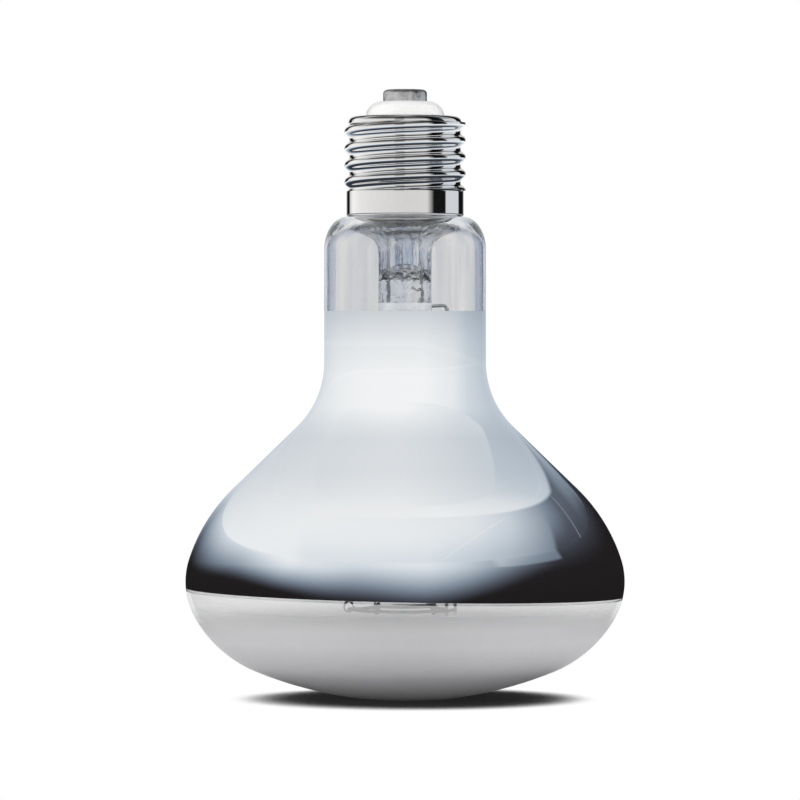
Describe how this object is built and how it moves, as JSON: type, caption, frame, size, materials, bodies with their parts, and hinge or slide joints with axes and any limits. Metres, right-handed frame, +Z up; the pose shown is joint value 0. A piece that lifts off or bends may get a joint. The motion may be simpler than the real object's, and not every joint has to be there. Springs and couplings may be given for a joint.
{
  "type": "reflector bulb",
  "caption": "Mirrored mercury vapour reflector bulb with a clear neck, a frosted domed face and a screw cap, standing cap up on its face.",
  "frame": {"origin": "the lowest point of the domed face, on the lamp axis", "axes": "+Z runs up the lamp axis from the face to the centre contact; +X is right and -Y is towards the viewer in the picture"},
  "size_m": [0.095, 0.095, 0.1321],
  "materials": {
    "cap_metal": "nickel plated, bright",
    "cap_glass": "glossy white glass",
    "contact_metal": "tinned, satin",
    "solder": "dull tin",
    "cement": "matt",
    "bulb_glass": "clear neck, frosted face",
    "mirror_film": "bright mirror",
    "stem_glass": "clear",
    "copper_wire": "oxidised copper",
    "white_ceramic": "matt white",
    "nickel_wire": "drawn nickel",
    "quartz": "clear quartz",
    "tungsten": "dark grey",
    "foil_metal": "thin foil",
    "mercury": "liquid metal",
    "resistor_body": "matt tan"
  },
  "bodies": {
    "root": {"cap_shell": "cap_metal", "cap_insulator": "cap_glass", "centre_contact": "contact_metal", "contact_solder": "solder", "side_solder": "solder", "cap_cement": "cement", "bulb_envelope": "bulb_glass", "reflector_coating": "mirror_film", "stem_glass": "stem_glass", "exhaust_tube": "stem_glass", "outer_lead_centre": "copper_wire", "outer_lead_side": "copper_wire", "sealing_wire_left": "copper_wire", "sealing_wire_right": "copper_wire", "heat_shield": "white_ceramic", "frame_rod": "nickel_wire", "upper_supply_lead": "nickel_wire", "arc_tube": "quartz", "upper_electrode": "tungsten", "lower_electrode": "tungsten", "starting_electrode": "tungsten", "upper_foil": "foil_metal", "lower_foil": "foil_metal", "starting_foil": "foil_metal", "upper_foil_lead": "nickel_wire", "lower_foil_lead": "nickel_wire", "starting_foil_lead": "nickel_wire", "mercury_drop": "mercury", "upper_strap": "nickel_wire", "lower_strap": "nickel_wire", "starting_resistor": "resistor_body", "resistor_lead_upper": "nickel_wire", "resistor_lead_lower": "nickel_wire", "filament_bead": "stem_glass", "bead_support": "nickel_wire", "filament_return_lead": "nickel_wire", "ballast_filament": "tungsten", "filament_hook_1": "tungsten", "filament_hook_2": "tungsten", "filament_hook_3": "tungsten", "filament_hook_4": "tungsten", "filament_hook_5": "tungsten"}
  },
  "joints": []
}
